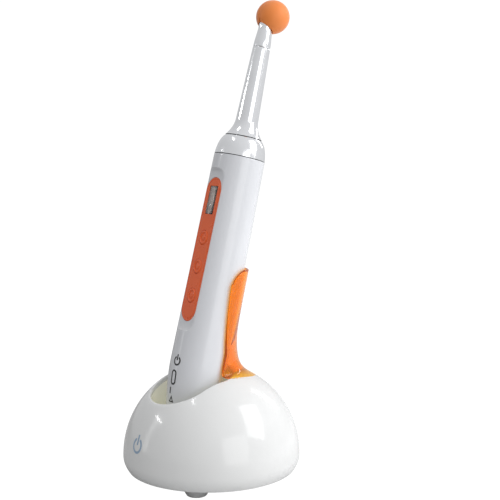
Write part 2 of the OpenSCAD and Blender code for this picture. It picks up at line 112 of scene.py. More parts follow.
REST_R = 15.5
REST_TOP = 102
REST_FLARE = 21
BUTTONS = {"power_button": 6.3, "mode_button": -9.4, "time_button": -25.1}
BUTTON_R = 3.9
WINDOW = (7.6, 15.4)
WINDOW_Z = 26.7


def hand(x, y, u):
    """World place of a point given in the handpiece's frame, in millimetres."""
    return TAIL + Vector((x, y * cos(LEAN) + u * sin(LEAN), u * cos(LEAN) - y * sin(LEAN))) * MM


def world(x, y, z):
    return Vector((x, y, z)) * MM


def body_r(u):
    if u < GRIP_U:
        return GRIP_R * (1 - 0.45 * ((GRIP_U - u) / GRIP_U) ** 1.6)
    return GRIP_R - TAPER * (u - GRIP_U)


def collar_r(u):
    t = u - HANDLE_LEN
    return body_r(HANDLE_LEN) - 0.122 * t - 0.000534 * t ** 3.5


def neck_r(u):
    t = u - NECK_FOOT
    return 6.44 - 1.7 * t / (NECK_TOP - NECK_FOOT) + 3.56 * max(0, 1 - t / 9.24) ** 2


PANEL_DEPTH = sqrt(body_r(PANEL_U) ** 2 - (PANEL_W / 2) ** 2)
PANEL_TILT = atan(TAPER)


def on_panel(x, depth, z):
    """World place of a point given by its depth below the panel's face and its height z."""
    y = depth * cos(PANEL_TILT) + z * sin(PANEL_TILT)
    u = z * cos(PANEL_TILT) - depth * sin(PANEL_TILT)
    return hand(x, y - PANEL_DEPTH, u + PANEL_U)


# Mesh tools ----------------------------------------------------------------------

SHARP = 35                                        # degrees between faces that make a hard edge


def add_mesh(name, points, faces, sharp=SHARP):
    mesh = bpy.data.meshes.new(name)
    mesh.from_pydata([tuple(p) for p in points], [], faces)
    mesh.validate()
    piece = bpy.data.objects.new(name, mesh)
    bpy.context.scene.collection.objects.link(piece)
    face_outwards(piece)
    shade(piece, sharp)
    return piece


def face_outwards(piece):
    shape = bmesh.new()
    shape.from_mesh(piece.data)
    bmesh.ops.recalc_face_normals(shape, faces=shape.faces)
    shape.to_mesh(piece.data)
    shape.free()


def shade(piece, sharp):
    """Smooth shading with hard edges where faces meet at more than sharp degrees."""
    piece.data.shade_smooth()
    if sharp < 180:
        piece.data.set_sharp_from_angle(angle=radians(sharp))


def grid(name, rows, close_rows=False, close_columns=True, sharp=SHARP):
    """Mesh through rows of points, one ring of faces between each two rows."""
    width = len(rows[0])
    points = [p for row in rows for p in row]
    faces = []
    last = len(rows) if close_rows else len(rows) - 1
    for i in range(last):
        a = i * width
        b = (i + 1) % len(rows) * width
        for j in range(width if close_columns else width - 1):
            k = (j + 1) % width
            faces.append((a + j, a + k, b + k, b + j))
    return add_mesh(name, points, faces, sharp)


def lathe(name, outline, place, segments=128, sharp=SHARP):
    """Solid turned about the frame's Z. The outline runs from axis to axis, or is a closed loop."""
    points = []
    rings = []
    for r, z in outline:
        if r < 1e-6:
            rings.append([len(points)])
            points.append(place(0, 0, z))
        else:
            rings.append(list(range(len(points), len(points) + segments)))
            points += [place(r * sin(TAU * k / segments), r * cos(TAU * k / segments), z)
                       for k in range(segments)]
    pairs = list(zip(rings, rings[1:]))
    if len(rings[0]) > 1:
        pairs.append((rings[-1], rings[0]))
    faces = []
    for a, b in pairs:
        for k in range(segments):
            n = (k + 1) % segments
            if len(a) == 1:
                faces.append((a[0], b[k], b[n]))
            elif len(b) == 1:
                faces.append((a[k], b[0], a[n]))
            else:
                faces.append((a[k], b[k], b[n], a[n]))
    return add_mesh(name, points, faces, sharp)


def rounded(corners, steps=5, closed=False):
    """Outline whose corners (r, z, radius) are rounded by that much."""
    outline = []
    count = len(corners)
    for i, (r, z, radius) in enumerate(corners):
        here = Vector((r, z))
        ends = not closed and i in (0, count - 1)
        if radius <= 0 or ends:
            outline.append((r, z))
            continue
        before = Vector(corners[i - 1][:2]) - here
        after = Vector(corners[(i + 1) % count][:2]) - here
        reach = min(radius, before.length * 0.49, after.length * 0.49)
        a = here + before.normalized() * reach
        b = here + after.normalized() * reach
        for k in range(steps + 1):
            t = k / steps
            p = a * (1 - t) ** 2 + here * 2 * t * (1 - t) + b * t * t
            outline.append((p.x, p.y))
    return outline


def solid_box(name, low, high, place):
    points = [place(x, y, z)
              for x in (low[0], high[0]) for y in (low[1], high[1]) for z in (low[2], high[2])]
    faces = [(0, 1, 3, 2), (4, 6, 7, 5), (0, 4, 5, 1), (2, 3, 7, 6), (0, 2, 6, 4), (1, 5, 7, 3)]
    return add_mesh(name, points, faces)


def apply_modifiers(piece, sharp=SHARP):
    graph = bpy.context.evaluated_depsgraph_get()
    mesh = bpy.data.meshes.new_from_object(piece.evaluated_get(graph))
    piece.modifiers.clear()
    old = piece.data
    piece.data = mesh
    bpy.data.meshes.remove(old)
    shade(piece, sharp)


def cut(piece, tools, sharp=SHARP):
    """Takes the tools' shapes out of the piece and deletes the tools."""
    for tool in tools:
        knife = piece.modifiers.new("cut", "BOOLEAN")
        knife.operation = "DIFFERENCE"
        knife.solver = "EXACT"
        knife.object = tool
    apply_modifiers(piece, sharp)
    for tool in tools:
        bpy.data.objects.remove(tool)


def bevel(piece, width_mm, segments=3, sharp=SHARP):
    edge = piece.modifiers.new("bevel", "BEVEL")
    edge.width = width_mm * MM
    edge.segments = segments
    edge.limit_method = "ANGLE"
    edge.angle_limit = radians(30)
    apply_modifiers(piece, sharp)


def stadium(half, width, inset, count=24):
    """Points (x, z) around a plate with round ends, inset from its edge."""
    r = width / 2 - inset
    straight = half - width / 2
    top = [(r * cos(pi * k / count), straight + r * sin(pi * k / count)) for k in range(count + 1)]
    return top + [(-x, -z) for x, z in top]


def disc_tool(name, radius, depth, z, segments=64):
    """Cylinder standing on the panel's face, from depth[0] to depth[1]."""
    return lathe(name, [(0, depth[0]), (radius, depth[0]), (radius, depth[1]), (0, depth[1])],
                 lambda x, y, d: on_panel(x, d, z + y), segments)


# Materials -----------------------------------------------------------------------

class Surface:
    """A procedural material: a Principled shader with helpers for patterns in object space."""

    def __init__(self, name, **values):
        self.material = bpy.data.materials.new(name)
        self.material.use_nodes = True
        self.tree = self.material.node_tree
        self.shader = self.tree.nodes["Principled BSDF"]
        for key, value in values.items():
            self.shader.inputs[key.replace("_", " ")].default_value = value
        self.place = self.tree.nodes.new("ShaderNodeTexCoord").outputs["Object"]

    def stretched(self, scale, lean=0.0):
        node = self.tree.nodes.new("ShaderNodeMapping")
        node.vector_type = "TEXTURE"
        node.inputs["Rotation"].default_value = (lean, 0, 0)
        node.inputs["Scale"].default_value = tuple(1 / s for s in scale)
        self.tree.links.new(self.place, node.inputs["Vector"])
        return node.outputs["Vector"]

    def noise(self, scale, detail=3.0, place=None):
        node = self.tree.nodes.new("ShaderNodeTexNoise")
        node.inputs["Scale"].default_value = scale
        node.inputs["Detail"].default_value = detail
        self.tree.links.new(place or self.place, node.inputs["Vector"])
        return node.outputs["Fac"]

    def between(self, source, low, high, start=0.3, end=0.7):
        node = self.tree.nodes.new("ShaderNodeMapRange")
        node.inputs["From Min"].default_value = start
        node.inputs["From Max"].default_value = end
        node.inputs["To Min"].default_value = low
        node.inputs["To Max"].default_value = high
        self.tree.links.new(source, node.inputs["Value"])
        return node.outputs["Result"]

    def colours(self, source, first, second, start=0.3, end=0.7):
        node = self.tree.nodes.new("ShaderNodeValToRGB")
        node.color_ramp.elements[0].position = start
        node.color_ramp.elements[0].color = (*first, 1)
        node.color_ramp.elements[1].position = end
        node.color_ramp.elements[1].color = (*second, 1)
        self.tree.links.new(source, node.inputs["Fac"])
        self.tree.links.new(node.outputs["Color"], self.shader.inputs["Base Color"])

    def roughness(self, source, low, high):
        self.tree.links.new(self.between(source, low, high), self.shader.inputs["Roughness"])

    def bump(self, source, depth_mm, strength=1.0):
        node = self.tree.nodes.new("ShaderNodeBump")
        node.inputs["Distance"].default_value = depth_mm * MM
        node.inputs["Strength"].default_value = strength
        self.tree.links.new(source, node.inputs["Height"])
        self.tree.links.new(node.outputs["Normal"], self.shader.inputs["Normal"])


def moulded(name, colour, rough, spread=0.03, tint=0.94, grain_mm=0.012, grain_scale=1500, **values):
    """Moulded plastic or rubber: slightly uneven colour and gloss over a fine grain."""
    skin = Surface(name, **values)
    broad = skin.noise(45, 3)
    skin.colours(broad, tuple(c * tint for c in colour), colour)
    skin.roughness(skin.noise(260, 4), rough - spread, rough + spread)
    skin.bump(skin.noise(grain_scale, 2), grain_mm)
    return skin.material


def turned_metal(name, colour, rough, lean=0.0, ring_scale=9000, line_mm=0.0006, **values):
    """Metal turned on a lathe: faint rings around the leaning axis, and uneven polish."""
    skin = Surface(name, Metallic=1.0, **values)
    skin.colours(skin.noise(90, 3), tuple(c * 0.95 for c in colour), colour)
    rings = skin.noise(1, 3, skin.stretched((60, 60, ring_scale), lean))
    smudges = skin.noise(140, 4)
    skin.roughness(smudges, rough * 0.8, rough * 1.25)
    skin.bump(rings, line_mm)
    return skin.material


def clear(name, colour, rough, density=0.0, tint=(1, 1, 1), **values):
    """Clear plastic, tinted by its depth where it has a density."""
    skin = Surface(name, Transmission_Weight=1.0, **values)
    skin.shader.inputs["Base Color"].default_value = (*colour, 1)
    skin.roughness(skin.noise(180, 3), rough * 0.6, rough * 1.4)
    skin.bump(skin.noise(110, 2), 0.01)
    if density:
        volume = skin.tree.nodes.new("ShaderNodeVolumeAbsorption")
        volume.inputs["Color"].default_value = (*tint, 1)
        volume.inputs["Density"].default_value = density
        output = skin.tree.nodes["Material Output"]
        skin.tree.links.new(volume.outputs["Volume"], output.inputs["Volume"])
    return skin.material


def woven_board(name):
    """Solder mask over glass cloth."""
    skin = Surface(name, Specular_IOR_Level=0.5)
    skin.colours(skin.noise(700, 2), (0.012, 0.10, 0.04), (0.02, 0.16, 0.06))
    skin.roughness(skin.noise(300, 3), 0.25, 0.4)
    skin.bump(skin.noise(2500, 2, skin.stretched((1, 8, 1))), 0.01)
    return skin.material


GLOSS = {"spread": 0.04, "tint": 0.985, "grain_mm": 0.0015, "grain_scale": 900,
         "Coat_Weight": 0.5, "Coat_Roughness": 0.03, "IOR": 1.5}
WHITE = (0.80, 0.805, 0.80)
# The handle's white is the dome's plastic painted darker and bluer: painted shade for the dimmer light on
# the handle.
HANDLE_SHADED_WHITE = (0.725, 0.735, 0.765)
ORANGE = (0.92, 0.135, 0.024)
# The glow of the well and of the amber stands in for light scattered inside the plastic.
materials = {
    "shell_white": moulded("white_gloss", WHITE, 0.16, **GLOSS),
    "handle_shaded_white": moulded("handle_shaded_gloss", HANDLE_SHADED_WHITE, 0.18, **GLOSS),
    "well_white": moulded("well_gloss", (0.93, 0.93, 0.80), 0.22, 0.05, 0.97, 0.003, 900, IOR=1.5,
                          Emission_Color=(1.0, 0.98, 0.84, 1), Emission_Strength=0.10),
    "amber": clear("amber_clear", (1.0, 0.58, 0.02), 0.04, 700, (0.86, 0.66, 0.2), IOR=1.42,
                   Emission_Color=(1.0, 0.30, 0.0, 1), Emission_Strength=0.12),
    "plate_grey": moulded("plate_matte", (0.52, 0.53, 0.54), 0.55, 0.08, 0.9, 0.03, 1800),
    "feet_grey": moulded("feet_rubber", (0.50, 0.50, 0.50), 0.62, 0.08, 0.9, 0.02, 1500),
    "steel": turned_metal("plain_steel", (0.62, 0.62, 0.63), 0.32),
    "ballast_iron": turned_metal("cast_ballast", (0.16, 0.165, 0.17), 0.6, line_mm=0.02),
    "board_green": woven_board("solder_mask"),
    "chip_black": moulded("chip_epoxy", (0.02, 0.02, 0.022), 0.5, 0.1, 0.8, 0.02, 2500),
    "brass": turned_metal("gilt_contact", (0.88, 0.63, 0.24), 0.2),
    "dark_plastic": moulded("dark_polymer", (0.035, 0.035, 0.038), 0.45, 0.08, 0.8, 0.02, 1800),
    "natural_plastic": moulded("bush_polymer", (0.70, 0.67, 0.56), 0.4, 0.08, 0.92, 0.02, 1500),
    "seal_rubber": moulded("seal_black", (0.018, 0.018, 0.018), 0.6, 0.1, 0.8, 0.03, 1500),
    "lead_red": moulded("wire_sleeve", (0.42, 0.02, 0.012), 0.4, 0.08, 0.9, 0.01, 1500),
    "cell_blue": moulded("cell_sleeve", (0.02, 0.06, 0.32), 0.28, 0.06, 0.9, 0.01, 500),
    "mark_blue": moulded("mark_ink_blue", (0.30, 0.42, 0.56), 0.35, 0.06, 0.9, 0.004, 1500),
    "mark_black": moulded("mark_ink_black", (0.015, 0.015, 0.016), 0.35, 0.06, 0.8, 0.004, 1500),
    "panel_orange": moulded("panel_satin", ORANGE, 0.30, 0.06, 0.9, 0.008, 1400),
    "display_grey": clear("display_glass", (0.93, 0.94, 0.93), 0.05, IOR=1.5),
    "lcd_dark": moulded("lcd_field", (0.52, 0.44, 0.41), 0.35, 0.05, 0.92, 0.002, 1500),
    "lcd_mark": moulded("lcd_segment", (0.27, 0.25, 0.24), 0.35, 0.05, 0.9, 0.002, 1500),
    "polished_steel": turned_metal("polished_steel", (0.92, 0.93, 0.95), 0.13, LEAN),
    "copper": turned_metal("copper_rod", (0.82, 0.40, 0.22), 0.3, LEAN),
    "lens_clear": clear("lens_glass", (0.96, 0.98, 1.0), 0.02, IOR=1.52),
    "emitter": moulded("emitter_phosphor", (0.85, 0.78, 0.22), 0.5, 0.08, 0.9, 0.01, 2500),
    "ceramic_white": moulded("board_ceramic", (0.78, 0.78, 0.75), 0.5, 0.08, 0.93, 0.01, 2000),
    "shield_orange": moulded("silicone_orange", (0.93, 0.27, 0.055), 0.5, 0.07, 0.88, 0.012, 1300,
                             Sheen_Weight=0.35, Sheen_Roughness=0.35),
}


def finish_piece(piece, body, slot, *nodes, look=None):
    """Gives a new piece its material and its body, and hides the CAD nodes it stands for."""
    piece.data.materials.clear()
    piece.data.materials.append(materials[look or slot])
    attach(piece, body)
    if nodes:
        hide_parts(*nodes)
    return piece


# Charging base -------------------------------------------------------------------

def dome_z(x, y, inset=0.0):
    share = hypot(x, y) / (BASE_R - inset)
    return EQUATOR_Z + (DOME_H - inset) * sqrt(max(0.0, 1 - share * share))


def skirt_r(z, inset=0.0):
    return (BASE_R - inset) * sqrt(1 - ((z - EQUATOR_Z) / LOWER_H) ** 2)


def off_axis(x, y, z):
    """Distance of a world point from the handpiece's axis, in millimetres."""
    return ((world(x, y, z) - TAIL).cross(AXIS)).length / MM


def in_opening(x, y):
    """Whether a place on the dome is inside the well's outline or the handpiece's way in."""
    if off_axis(x, y, dome_z(x, y)) < SLOT_R:
        return True
    corner_x, corner_y = WELL_R - CORNER_R, WELL_BACK - CORNER_R
    if y < WELL_Y:
        return hypot(x / WELL_R, (y - WELL_Y) / (WELL_R - FRONT_LIP)) < 1
    if y < corner_y or abs(x) < corner_x:
        return abs(x) < WELL_R and y < WELL_BACK
    return hypot(abs(x) - corner_x, y - corner_y) < CORNER_R


def rim_reach(angle):
    """How far the opening's edge is from the hub in this direction."""
    low, high = 5, 40
    for _ in range(30):
        middle = (low + high) / 2
        if in_opening(middle * cos(angle), HUB_Y + middle * sin(angle)):
            low = middle
        else:
            high = middle
    return high


def edge_reach(angle, radius):
    """Distance from the hub to the dome's widest ring in this direction."""
    b = HUB_Y * sin(angle)
    return -b + sqrt(b * b - HUB_Y * HUB_Y + radius * radius)


def dome_column(angle):
    """One cross-section of the shell, a closed loop that starts low on the well's wall."""
    fillet = 1.5 + 1.2 * max(0.0, -sin(angle)) ** 2
    rim = rim_reach(angle)
    column = []

    def add(reach, z):
        column.append(world(reach * cos(angle), HUB_Y + reach * sin(angle), z))

    def skin(reach, inset=0.0):
        return dome_z(reach * cos(angle), HUB_Y + reach * sin(angle), inset)

    add(rim, skin(rim, WALL))
    top = skin(rim)
    low = Vector((rim, top - fillet))
    corner = Vector((rim, top))
    out = Vector((rim + fillet, skin(rim + fillet)))
    for k in range(9):
        t = k / 8
        p = low * (1 - t) ** 2 + corner * 2 * t * (1 - t) + out * t * t
        add(p.x, p.y)
    last = edge_reach(angle, BASE_R)
    for k in range(1, 49):
        t = 1 - (1 - k / 48) ** 2
        reach = out.x + (last - out.x) * t
        add(reach, skin(reach) if k < 48 else EQUATOR_Z)
    side = Vector((last * cos(angle), HUB_Y + last * sin(angle))).normalized()
    for k in range(1, 11):
        z = EQUATOR_Z + (RIM_Z + 0.5 - EQUATOR_Z) * k / 10
        column.append(world(*(side * skirt_r(z)), z))
    for k in range(1, 7):
        swing = pi * k / 6
        middle = skirt_r(RIM_Z + 0.5) - WALL / 2
        column.append(world(*(side * (middle + WALL / 2 * cos(swing))), RIM_Z + 0.5 - 0.5 * sin(swing)))
    for k in range(4, -1, -1):
        z = EQUATOR_Z + (RIM_Z + 0.5 - EQUATOR_Z) * k / 5
        column.append(world(*(side * (skirt_r(z) - WALL)), z))
    inner = edge_reach(angle, BASE_R - WALL)
    for k in range(15, 0, -1):
        t = 1 - (1 - k / 16) ** 2
        reach = rim + (inner - rim) * t
        add(reach, skin(reach, WALL))
    return column


def dome_skin():
    columns = [dome_column(TAU * k / 240) for k in range(240)]
    shell = grid("dome_skin", columns, close_rows=True, close_columns=True, sharp=60)
    low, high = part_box("power_inlet")
    margin = 0.25 * MM
    slot = solid_box("inlet_cut", (low[0] - margin, high[1] - 8 * MM, low[2] - margin),
                     (high[0] + margin, high[1] + 8 * MM, high[2] + margin),
                     lambda x, y, z: Vector((x, y, z)))
    bevel(slot, 0.8, 4)
    cut(shell, [slot], 50)
    return finish_piece(shell, "base", "shell_white", "dome_shell")


def dome_u(x, off):
    """Height along the handpiece of the dome's skin, beside the handpiece's axis."""
    foot = TAIL / MM
    y0 = foot.y + off * cos(LEAN)
    z0 = foot.z - off * sin(LEAN) - EQUATOR_Z
    a = (sin(LEAN) / BASE_R) ** 2 + (cos(LEAN) / DOME_H) ** 2
    b = y0 * sin(LEAN) / BASE_R ** 2 + z0 * cos(LEAN) / DOME_H ** 2
    c = (x * x + y0 * y0) / BASE_R ** 2 + (z0 / DOME_H) ** 2 - 1
    return (sqrt(max(0.0, b * b - a * c)) - b) / a


def rest_side(v):
    return radians(86.6 - 7.5 * ((41 - 37 * max(0.0, v - 1)) / 26) ** 2)


def rest_edge(a):
    q = max(0.0, (abs(degrees(a)) - 58) / 28.6)
    return REST_TOP - 2.4 * (degrees(a) / 86) ** 2 - 8.5 * (1 - sqrt(max(0.0, 1 - q * q)))


def rest_point(b, v, depth):
    """Point of the amber rest: b runs from side to side, v from the foot's edge (0) through the
    foot's top (1) to the upper edge (2), and depth from the outer face (0) to the inner one (1)."""
    a = b * rest_side(v)
    c = max(0.0, cos(a)) ** 2.2
    f = min(1.0, v) ** 2.25
    g = max(0.0, v - 1)
    fade = (1 - sqrt(min(1.0, v))) ** 1.2

    def face(inner):
        wall = REST_R + (0 if inner else 1.28 + 0.4 * (1 - g) ** 3.5)
        spread = ((REST_FLARE + 0.5) * c if inner else 1 + REST_FLARE * c) * fade
        rise = (9.2 + 18 * c) * f - (0.2 + 0.6 * (1 - f) if inner else 0)
        x, off = (wall + spread) * sin(a), (wall + spread) * cos(a)
        u = dome_u(x, off) + rise
        return Vector((x, off, u + (rest_edge(a) - u) * g))

    return face(False).lerp(face(True), depth)


def amber_rest():
    """Closed shell whose section is a flat loop with rounded edges, swept from side to side."""
    across, up = 72, 64
    edge = 0.9                                    # mm of rounding at the upper edge and the sides

    def loop(b):
        outer, inner = [], []
        for j in range(up + 1):
            v = 2 * j / up
            outer.append(rest_point(b, v, 0))
            inner.append(rest_point(b, v, 1))
        top_out, top_in = outer[-1], inner[-1]
        cap = []
        for k in range(1, 6):
            swing = pi * k / 6
            middle = (top_out + top_in) / 2
            half = (top_out - top_in) / 2
            cap.append(middle + half * cos(swing) + Vector((0, 0, edge * sin(swing))))
        return outer + cap + inner[::-1]

    columns = []
    for i in range(across + 1):
        columns.append(loop(sin(pi / 2 * (2 * i / across - 1))))
    for side, index in ((-1, 0), (1, -1)):
        rim = columns[index]
        middle = [(p + q) / 2 for p, q in zip(rim, rim[::-1])]
        swell = []
        for swing in (pi / 6, pi / 3):
            shrunk = []
            for p, m in zip(rim, middle):
                away = Vector((m.y, -m.x, 0)).normalized() * side * edge * 0.8
                shrunk.append(m + (p - m) * cos(swing) + away * sin(swing))
            swell.append(shrunk)
        last = [m + Vector((m.y, -m.x, 0)).normalized() * side * edge * 0.8 + (p - m) * 0.12
                for p, m in zip(rim, middle)]
        swell.append(last)
        columns = swell[::-1] + columns if side < 0 else columns + swell
    placed = [[hand(*p) for p in column] for column in columns]
    rest = grid("amber_rest", placed, close_rows=False, close_columns=True, sharp=180)
    close_ends(rest, placed)
    return finish_piece(rest, "base", "amber", "cradle_rest")


def close_ends(piece, rows):
    """Closes the first and the last loop of a swept grid with strips across them."""
    width = len(rows[0])
    faces = [tuple(p.vertices) for p in piece.data.polygons]
    points = [v.co.copy() for v in piece.data.vertices]
    for start in (0, (len(rows) - 1) * width):
        for j in range(width // 2):
            a, b = start + j, start + (j + 1) % width
            c, d = start + (width - 2 - j) % width, start + (width - 1 - j) % width
            corners = []
            for index in (a, b, c, d):
                if index not in corners:
                    corners.append(index)
            if len(corners) > 2:
                faces.append(tuple(corners))
    name = piece.data.name
    piece.data.clear_geometry()
    piece.data.from_pydata([tuple(p) for p in points], [], faces)
    piece.data.name = name
    face_outwards(piece)
    shade(piece, 180)


def base_pads():
    """Four feet, narrower at the bottom, on a ring at 45 degrees to the base's axes."""
    top_r, bottom_r, height = 7.2, 5.1, 4.35
    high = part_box("base_feet")[1]
    ring = (high[0] / MM - top_r) * sqrt(2)
    outline = rounded([(0, 0, 0), (bottom_r, 0, 0.8), (top_r - 0.1, 3.5, 0.5), (top_r, height, 0.2),
                       (0, height, 0)])
    pads = []
    for k in range(4):
        a = pi / 4 + k * pi / 2
        pads.append(lathe("foot_pad", outline,
                          lambda x, y, z: world(ring * cos(a) + x, ring * sin(a) + y, z)))
    return finish_piece(joined("foot_pads", pads), "base", "feet_grey", "base_feet")


def joined(name, parts):
    points, faces = [], []
    for part in parts:
        start = len(points)
        points += [v.co.copy() for v in part.data.vertices]
        faces += [tuple(i + start for i in p.vertices) for p in part.data.polygons]
        bpy.data.objects.remove(part)
    return add_mesh(name, points, faces)


# Handpiece -----------------------------------------------------------------------

def smooth_min(a, b, soft):
    h = max(soft - abs(a - b), 0.0) / soft
    return min(a, b) - h * h * soft / 4


def handle_surface(angle, u):
    """Radius of the handle at an angle from its front, with the panel's scoop taken out."""
    r = body_r(u)
    if cos(angle) < 0.3:
        return r
    z = u - PANEL_U
    beyond = abs(z) - PANEL_HALF
    depth = PANEL_DEPTH - TAPER * z
    if beyond > 0:
        q = min(1.0, beyond / SCOOP_LEN)
        depth += 2.2 * (1 - sqrt(1 - q * q))
    if beyond > SCOOP_LEN:
        return r
    return smooth_min(r, depth / cos(angle), 0.25)


def handle_body():
    around = 288
    heights = [TAIL_U + (HANDLE_LEN - TAIL_U) * k / 360 for k in range(361)]
    heights += [PANEL_U + s * (PANEL_HALF + SCOOP_LEN * k / 20) for s in (-1, 1) for k in range(12, 21)]
    heights = sorted(heights)
    rows = []

    def ring(u, shrink=0.0, radius=None):
        row = []
        for k in range(around):
            angle = TAU * k / around
            r = radius if radius else handle_surface(angle, u) - shrink
            row.append(hand(r * sin(angle), -r * cos(angle), u))
        rows.append(row)

    ring(heights[0], 0.25)
    ring(heights[0] + 0.07, 0.08)
    for u in heights:
        if heights[0] + 0.2 < u < heights[-1] - 0.2:
            ring(u)
    ring(heights[-1] - 0.07, 0.08)
    ring(heights[-1], 0.25)
    for radius, u in ((COLLAR_SEAT[0], HANDLE_LEN), COLLAR_SEAT, (BORE_R, COLLAR_SEAT[1]),
                      (BORE_R, TAIL_SEAT[1]), TAIL_SEAT, (TAIL_SEAT[0], TAIL_U)):
        ring(u, radius=radius)
    body = grid("handle_body", rows, close_rows=True, close_columns=True, sharp=40)
    tools = [panel_prism("pocket", PANEL_HALF, PANEL_W, -3, 1.05)]
    for z in BUTTONS.values():
        tools.append(disc_tool("well", 4.6, (0, 5), z))
    tools.append(solid_box("glass_well", (-5, 0, WINDOW_Z - 8.9), (5, 5, WINDOW_Z + 8.9), on_panel))
    cut(body, tools, 40)
    # The handle takes the darker white, painted shade.
    return finish_piece(body, "handpiece", "shell_white", "handle_shell", look="handle_shaded_white")


def capped(name, rows, sharp=SHARP):
    """Solid through rows of points, with a flat face over the first row and over the last."""
    width = len(rows[0])
    faces = []
    for i in range(len(rows) - 1):
        for j in range(width):
            k = (j + 1) % width
            faces.append((i * width + j, i * width + k, (i + 1) * width + k, (i + 1) * width + j))
    top = (len(rows) - 1) * width
    faces += [tuple(range(width)), tuple(range(top, top + width))]
    return add_mesh(name, [p for row in rows for p in row], faces, sharp)


def panel_prism(name, half, width, top, bottom):
    outline = stadium(half, width, 0, 32)
    return capped(name, [[on_panel(x, d, z) for x, z in outline] for d in (top, bottom)])


def panel_face():
    """Plate with a soft edge and a fine groove just inside it, crowned a little across."""
    gap = 0.12
    profile = [(0, 1.0), (0, 0.25), (0.05, 0.08), (0.2, -0.02), (0.55, -0.05), (0.8, -0.05), (0.92, 0.0),
               (1.0, 0.12), (1.1, 0.16), (1.25, 0.16), (1.35, 0.12), (1.43, 0.0), (1.55, -0.05),
               (2.4, -0.06), (3.6, -0.07), (5.2, -0.07), (6.6, -0.07)]
    rows = [[on_panel(x, depth, z) for x, z in stadium(PANEL_HALF - gap, PANEL_W - 2 * gap, inset, 32)]
            for inset, depth in profile]
    plate = capped("panel_face", rows, 50)
    tools = [disc_tool("hole", BUTTON_R + gap, (-1, 2), z) for z in BUTTONS.values()]
    window = solid_box("window", (-WINDOW[0] / 2, -1, WINDOW_Z - WINDOW[1] / 2),
                       (WINDOW[0] / 2, 2, WINDOW_Z + WINDOW[1] / 2), on_panel)
    bevel(window, 0.5, 4)
    cut(plate, tools + [window], 40)
    return finish_piece(plate, "handpiece", "panel_orange", "control_panel")


def key(node, body):
    """Round key with a raised ring and a domed middle, on its flange and stem."""
    outline = rounded([
        (0, -0.42, 0), (1.1, -0.36, 0.4), (1.8, 0.0, 0.4), (2.4, 0.02, 0.25), (2.75, -0.5, 0.2),
        (3.3, -0.5, 0.3), (BUTTON_R, 0.0, 0.3), (BUTTON_R, 1.06, 0), (4.3, 1.06, 0.1),
        (4.3, 1.7, 0.1), (1.5, 1.7, 0), (1.5, 2.2, 0.1), (0, 2.2, 0)], 4)
    z = BUTTONS[node]
    piece = lathe(node + "_cap", outline, lambda x, y, d: on_panel(x, d, z + y), 96)
    return finish_piece(piece, body, "panel_orange", node)


def window_glass():
    size = (WINDOW[0] / 2 - 0.06, WINDOW[1] / 2 - 0.06)
    glass = solid_box("window_glass", (-size[0], 0.08, WINDOW_Z - size[1]),
                      (size[0], 0.95, WINDOW_Z + size[1]), on_panel)
    bevel(glass, 0.18, 3)
    return finish_piece(glass, "handpiece", "display_grey", "display_window")


def display_marks():
    """Level bars and a frame on the display's field, under its window."""
    depth = (2.2, 2.27)
    parts = []
    for k in range(5):
        z = WINDOW_Z + 4.6 - 1.5 * k
        parts.append(solid_box("bar", (-1.9 + 0.35 * k, depth[0], z - 0.45),
                               (1.9, depth[1], z + 0.45), on_panel))
    for z in (6.6, -5.6):
        parts.append(solid_box("bar", (-2.2, depth[0], WINDOW_Z + z - 0.15),
                               (2.2, depth[1], WINDOW_Z + z + 0.15), on_panel))
    return finish_piece(joined("display_marks", parts), "handpiece", "chip_black", look="lcd_mark")


def neck_collar():
    foot, bush_r, seat_r = 151, 7.2, COLLAR_SEAT[0] - 0.1
    start = HANDLE_LEN + 0.3
    outline = [(bush_r, foot), (seat_r, foot), (seat_r, start)]
    outline += [(collar_r(start) - 0.15, start), (collar_r(start + 0.1), start + 0.12)]
    outline += [(collar_r(u), u) for u in
                (start + 0.3 + (COLLAR_TOP - 0.2 - start - 0.3) * k / 40 for k in range(41))]
    outline += [(collar_r(COLLAR_TOP) - 0.02, COLLAR_TOP - 0.06), (collar_r(COLLAR_TOP) - 0.15, COLLAR_TOP),
                (5.75, COLLAR_TOP), (5.75, 168.5), (bush_r, 168.5)]
    piece = lathe("collar_body", outline, hand, 192, 50)
    return finish_piece(piece, "handpiece", "polished_steel", "neck_collar")


def neck_tube():
    bore_r, spigot_r, spigot_foot = 2.62, 5.6, 151.6
    outline = [(bore_r, spigot_foot), (spigot_r, spigot_foot), (spigot_r, NECK_FOOT - 0.03),
               (neck_r(NECK_FOOT) - 0.2, NECK_FOOT - 0.03),
               (neck_r(NECK_FOOT) - 0.03, NECK_FOOT + 0.04)]
    outline += [(neck_r(u), u) for u in (NECK_FOOT + 0.16 + (NECK_TOP - NECK_FOOT - 0.3) * (k / 80) ** 1.5
                                         for k in range(81))]
    outline += [(neck_r(NECK_TOP) - 0.14, NECK_TOP), (bore_r, NECK_TOP)]
    piece = lathe("neck_body", outline, hand, 160, 50)
    return finish_piece(piece, "neck", "polished_steel", "neck_tube")


def head_body():
    """Short tapering head, its round end holding the light, which looks backwards."""
    t = NECK_TOP
    corners = [(0, t + 0.2, 0), (4.55, t + 0.2, 0.12), (4.68, t + 0.5, 0.15), (4.6, t + 3, 1.2),
               (HEAD_R - 0.1, t + 10, 1.0), (HEAD_R, t + 12, 0.6), (HEAD_R, HEAD_U + 4.3, 1.2),
               (HEAD_R - 1.3, HEAD_U + 5.9, 1.2), (0, HEAD_U + 6, 0)]
    piece = lathe("head_body", rounded(corners, 8), hand, 128, 50)
    cavity = lathe("cavity", [(0, 0.4), (LENS_R + 0.1, 0.4), (LENS_R + 0.1, 9), (0, 9)],
                   lambda x, z, y: hand(x, y, HEAD_U + z), 64)
    cut(piece, [cavity], 45)
    return finish_piece(piece, "neck", "polished_steel", "head_shell")


